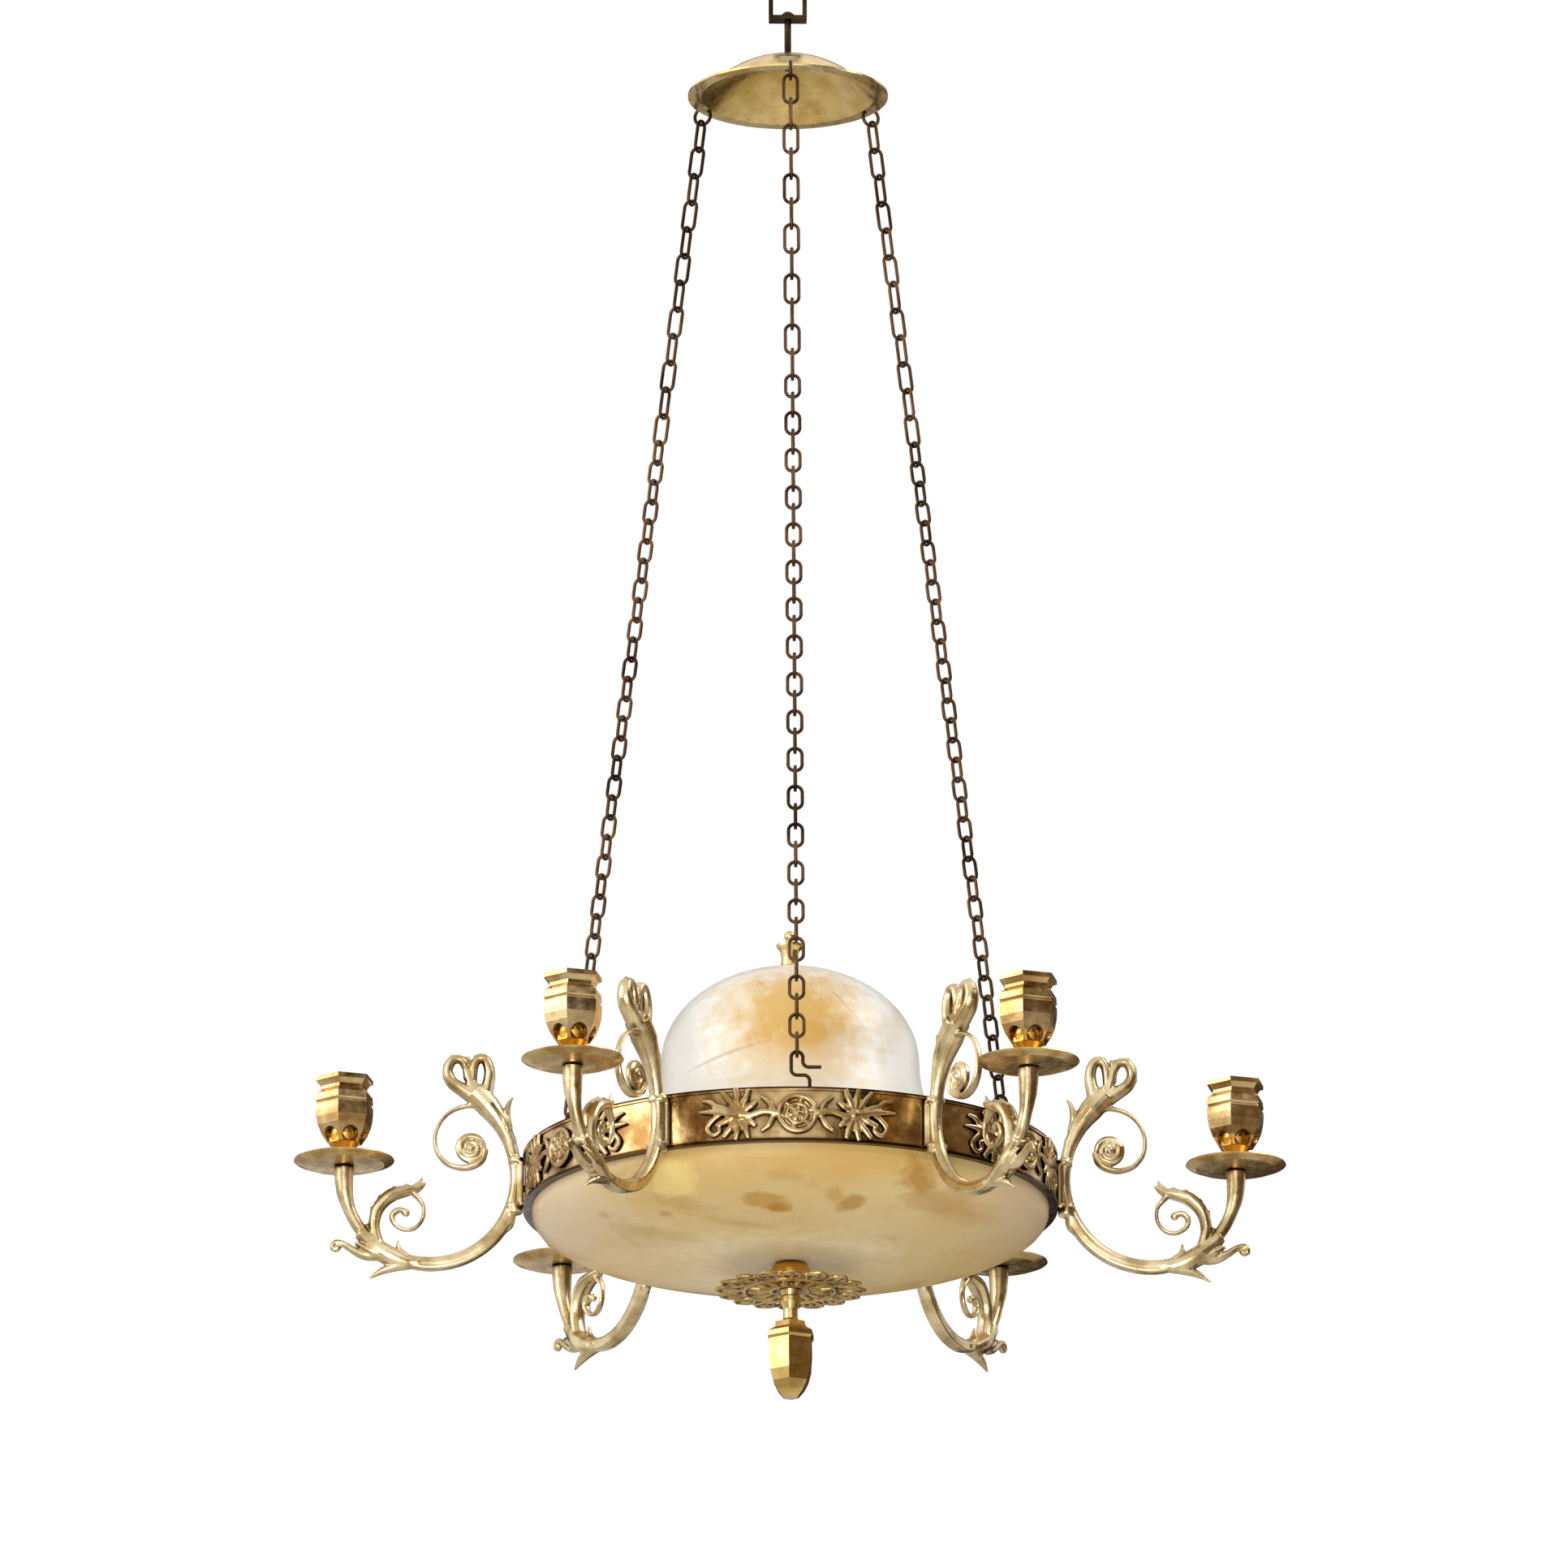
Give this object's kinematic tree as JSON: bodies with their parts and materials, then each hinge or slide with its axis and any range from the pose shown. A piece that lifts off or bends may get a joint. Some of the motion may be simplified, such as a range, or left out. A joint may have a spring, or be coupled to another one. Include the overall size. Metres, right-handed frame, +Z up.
{
  "type": "chandelier",
  "caption": "Chandelier with cast scroll branches and candle cups on a brass band, a shallow stone bowl and domed lid, hung on chains from a small dished canopy.",
  "frame": {"origin": "centre of the arch of the hanging stirrup, where the ceiling hook bears", "axes": "+Z up along the hanging axis, -Y to the front, +X to the right"},
  "size_m": [0.721, 0.6342, 1.0996],
  "materials": {
    "dark_metal": "dark brown, worn",
    "canopy_brass": "aged satin",
    "chain_brass": "dark brown patina with copper rubs",
    "band_brass": "aged satin, lacquer toned brown",
    "gilt_brass": "matte gilt with brown in the hollows",
    "polished_brass": "polished with dark hollows",
    "bowl_stone": "honed alabaster with brown stains",
    "lid_stone": "honed alabaster, pale and slightly clear"
  },
  "bodies": {
    "stirrup": {"stirrup": "dark_metal"},
    "stem": {"stem": "dark_metal", "stem_nut": "band_brass", "canopy": "canopy_brass"},
    "chain_front": {"ring_front": "chain_brass", "chain_front": "chain_brass"},
    "chain_right": {"ring_right": "chain_brass", "chain_right": "chain_brass"},
    "chain_left": {"ring_left": "chain_brass", "chain_left": "chain_brass"},
    "lamp": {"band": "band_brass", "hook_front": "band_brass", "hook_right": "band_brass", "hook_left": "band_brass", "ornament_1": "gilt_brass", "ornament_2": "gilt_brass", "ornament_3": "gilt_brass", "ornament_4": "gilt_brass", "ornament_5": "gilt_brass", "ornament_6": "gilt_brass", "branch_1": "gilt_brass", "branch_2": "gilt_brass", "branch_3": "gilt_brass", "branch_4": "gilt_brass", "branch_5": "gilt_brass", "branch_6": "gilt_brass", "pan_1": "gilt_brass", "pan_2": "gilt_brass", "pan_3": "gilt_brass", "pan_4": "gilt_brass", "pan_5": "gilt_brass", "pan_6": "gilt_brass", "cup_1": "polished_brass", "cup_2": "polished_brass", "cup_3": "polished_brass", "cup_4": "polished_brass", "cup_5": "polished_brass", "cup_6": "polished_brass", "branch_screws": "band_brass", "bowl": "bowl_stone", "lid": "lid_stone", "tie_rod": "band_brass", "lid_finial": "polished_brass", "boss": "polished_brass", "leaf_disc": "gilt_brass", "drop": "polished_brass"}
  },
  "joints": [
    {"name": "swivel", "type": "hinge", "parent": "stirrup", "child": "stem", "pos_m": [0, 0, 0], "axis": [0, 0, 1], "continuous": true},
    {"name": "sway", "type": "hinge", "parent": "stem", "child": "lamp", "pos_m": [0, 0, 0.39248], "axis": [1, 0, 0], "range_deg": [-2, 2]},
    {"name": "swing_front", "type": "hinge", "parent": "stem", "child": "chain_front", "pos_m": [0, -0.072, -0.0967], "axis": [1, 0, 0], "range_deg": [-3.3, 3.3]},
    {"name": "swing_right", "type": "hinge", "parent": "stem", "child": "chain_right", "pos_m": [0.06235, 0.036, -0.0967], "axis": [1, 0, 0], "range_deg": [-3.3, 3.3]},
    {"name": "swing_left", "type": "hinge", "parent": "stem", "child": "chain_left", "pos_m": [-0.06235, 0.036, -0.0967], "axis": [1, 0, 0], "range_deg": [-3.3, 3.3]}
  ],
  "couplings": [
    {"joint": "swing_front", "follows": "sway", "ratio": 1.6239},
    {"joint": "swing_right", "follows": "sway", "ratio": 1.6239},
    {"joint": "swing_left", "follows": "sway", "ratio": 1.6239}
  ]
}
